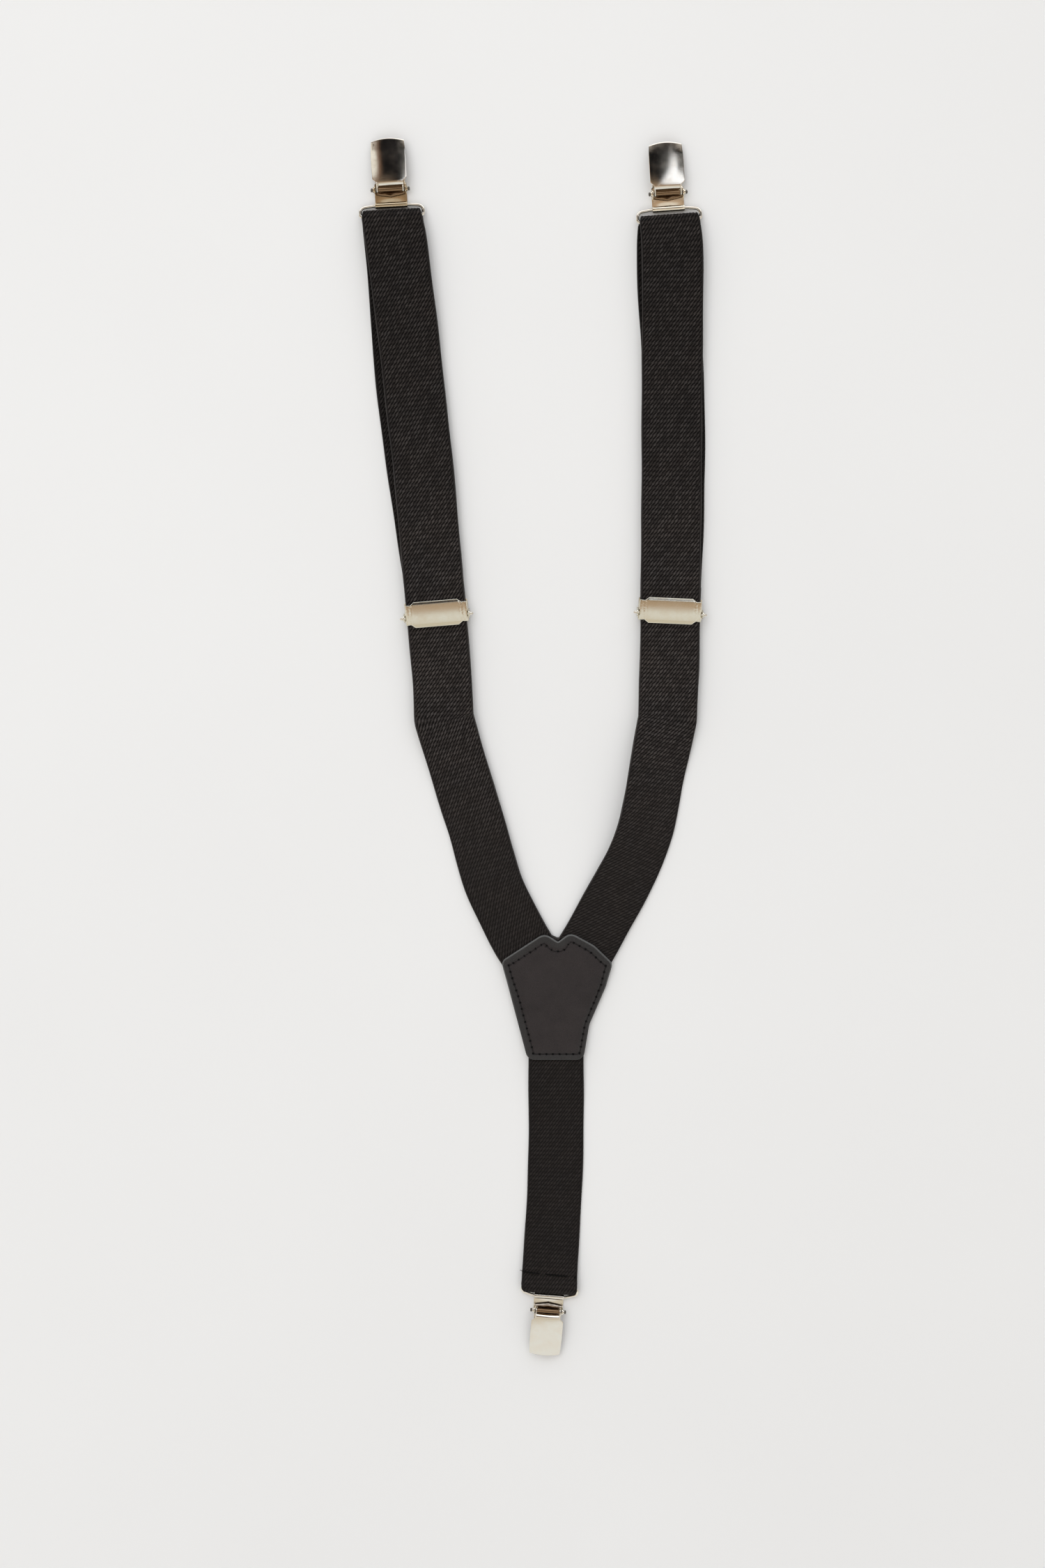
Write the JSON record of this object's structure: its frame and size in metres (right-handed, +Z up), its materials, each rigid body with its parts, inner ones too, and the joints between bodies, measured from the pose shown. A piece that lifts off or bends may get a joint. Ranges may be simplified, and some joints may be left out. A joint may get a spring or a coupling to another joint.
{
  "type": "suspenders",
  "caption": "Y-back elastic trouser suspenders lying flat: stitched leather patch, slide adjusters and lever clips on wire loops.",
  "frame": {"origin": "middle of the laid-out object, on the surface that it lies on", "axes": "+Y along the straps towards the two front clips, +X towards the right front strap, +Z up from the surface"},
  "size_m": [0.1985, 0.7227, 0.0106],
  "materials": {
    "webbing": "black elastic twill webbing",
    "leather": "smooth black leather, semi-matt",
    "thread": "black sewing thread",
    "nickel": "polished warm nickel plate",
    "spring_steel": "plated spring steel"
  },
  "bodies": {
    "root": {"patch_back": "leather", "patch_front": "leather", "patch_thread": "thread", "left_front_strap": "webbing", "right_front_strap": "webbing", "back_strap": "webbing", "back_seam_thread": "thread"},
    "left_strap_end": {"left_strap_return": "webbing"},
    "left_adjuster": {"left_adjuster_frame": "nickel", "left_adjuster_rod": "nickel"},
    "left_cover": {"left_adjuster_cover": "nickel"},
    "right_strap_end": {"right_strap_return": "webbing"},
    "right_adjuster": {"right_adjuster_frame": "nickel", "right_adjuster_rod": "nickel"},
    "right_cover": {"right_adjuster_cover": "nickel"},
    "left_loop": {"left_wire_loop": "nickel"},
    "left_clip": {"left_clip_base": "nickel", "left_clip_pin": "nickel"},
    "left_lever": {"left_clip_lever": "nickel"},
    "left_jaw": {"left_clip_jaw": "spring_steel"},
    "right_loop": {"right_wire_loop": "nickel"},
    "right_clip": {"right_clip_base": "nickel", "right_clip_pin": "nickel"},
    "right_lever": {"right_clip_lever": "nickel"},
    "right_jaw": {"right_clip_jaw": "spring_steel"},
    "back_loop": {"back_wire_loop": "nickel"},
    "back_clip": {"back_clip_base": "nickel", "back_clip_pin": "nickel"},
    "back_lever": {"back_clip_lever": "nickel"},
    "back_jaw": {"back_clip_jaw": "spring_steel"}
  },
  "joints": [
    {"name": "left_strap_slide", "type": "slide", "parent": "root", "child": "left_strap_end", "axis": [-0.0826, 0.9966, 0], "range_m": [-0.008, 0.03], "deforming": ["left_front_strap"]},
    {"name": "left_adjuster_slide", "type": "slide", "parent": "left_strap_end", "child": "left_adjuster", "axis": [-0.0826, 0.9966, 0], "range_m": [-0.008, 0.03], "deforming": ["left_strap_return"]},
    {"name": "left_cover_hinge", "type": "hinge", "parent": "left_adjuster", "child": "left_cover", "pos_m": [-0.05736, 0.09481, 0.0065], "axis": [0.9966, 0.0826, 0], "range_deg": [0, 14]},
    {"name": "right_strap_slide", "type": "slide", "parent": "root", "child": "right_strap_end", "axis": [0, 1, 0], "range_m": [-0.008, 0.03], "deforming": ["right_front_strap"]},
    {"name": "right_adjuster_slide", "type": "slide", "parent": "right_strap_end", "child": "right_adjuster", "axis": [0, 1, 0], "range_m": [-0.008, 0.03], "deforming": ["right_strap_return"]},
    {"name": "right_cover_hinge", "type": "hinge", "parent": "right_adjuster", "child": "right_cover", "pos_m": [0.07823, 0.0963, 0.0065], "axis": [0.999, -0.0436, 0], "range_deg": [0, 14]},
    {"name": "left_loop_hinge", "type": "hinge", "parent": "left_strap_end", "child": "left_loop", "pos_m": [-0.08113, 0.31957, 0.0033], "axis": [0.9986, 0.0523, 0], "range_deg": [0, 60]},
    {"name": "left_clip_hinge", "type": "hinge", "parent": "left_loop", "child": "left_clip", "pos_m": [-0.0815, 0.3267, 0.0018], "axis": [0.9986, 0.0523, 0], "range_deg": [0, 60]},
    {"name": "left_lever_hinge", "type": "hinge", "parent": "left_clip", "child": "left_lever", "pos_m": [-0.08193, 0.33499, 0.0049], "axis": [0.9986, 0.0523, 0], "range_deg": [0, 65]},
    {"name": "left_jaw_hinge", "type": "hinge", "parent": "left_clip", "child": "left_jaw", "pos_m": [-0.08164, 0.3293, 0.00115], "axis": [0.9986, 0.0523, 0], "range_deg": [0, 6.5]},
    {"name": "right_loop_hinge", "type": "hinge", "parent": "right_strap_end", "child": "right_loop", "pos_m": [0.0755, 0.31757, 0.0033], "axis": [0.9976, 0.0698, 0], "range_deg": [0, 60]},
    {"name": "right_clip_hinge", "type": "hinge", "parent": "right_loop", "child": "right_clip", "pos_m": [0.075, 0.3247, 0.0018], "axis": [0.9976, 0.0698, 0], "range_deg": [0, 60]},
    {"name": "right_lever_hinge", "type": "hinge", "parent": "right_clip", "child": "right_lever", "pos_m": [0.07442, 0.33298, 0.0049], "axis": [0.9976, 0.0698, 0], "range_deg": [0, 65]},
    {"name": "right_jaw_hinge", "type": "hinge", "parent": "right_clip", "child": "right_jaw", "pos_m": [0.07482, 0.32729, 0.00115], "axis": [0.9976, 0.0698, 0], "range_deg": [0, 6.5]},
    {"name": "back_loop_hinge", "type": "hinge", "parent": "root", "child": "back_loop", "pos_m": [0.00941, -0.31628, 0.0033], "axis": [-0.9969, 0.0785, 0], "range_deg": [0, 60]},
    {"name": "back_clip_hinge", "type": "hinge", "parent": "back_loop", "child": "back_clip", "pos_m": [0.00885, -0.3234, 0.0018], "axis": [-0.9969, 0.0785, 0], "range_deg": [0, 60]},
    {"name": "back_lever_hinge", "type": "hinge", "parent": "back_clip", "child": "back_lever", "pos_m": [0.0082, -0.33167, 0.0049], "axis": [-0.9969, 0.0785, 0], "range_deg": [0, 65]},
    {"name": "back_jaw_hinge", "type": "hinge", "parent": "back_clip", "child": "back_jaw", "pos_m": [0.00865, -0.32599, 0.00115], "axis": [-0.9969, 0.0785, 0], "range_deg": [0, 6.5]}
  ],
  "couplings": [
    {"joint": "left_adjuster_slide", "follows": "left_strap_slide", "ratio": 1},
    {"joint": "right_adjuster_slide", "follows": "right_strap_slide", "ratio": 1},
    {"joint": "left_jaw_hinge", "follows": "left_lever_hinge", "ratio": 0.1},
    {"joint": "right_jaw_hinge", "follows": "right_lever_hinge", "ratio": 0.1},
    {"joint": "back_jaw_hinge", "follows": "back_lever_hinge", "ratio": 0.1}
  ]
}
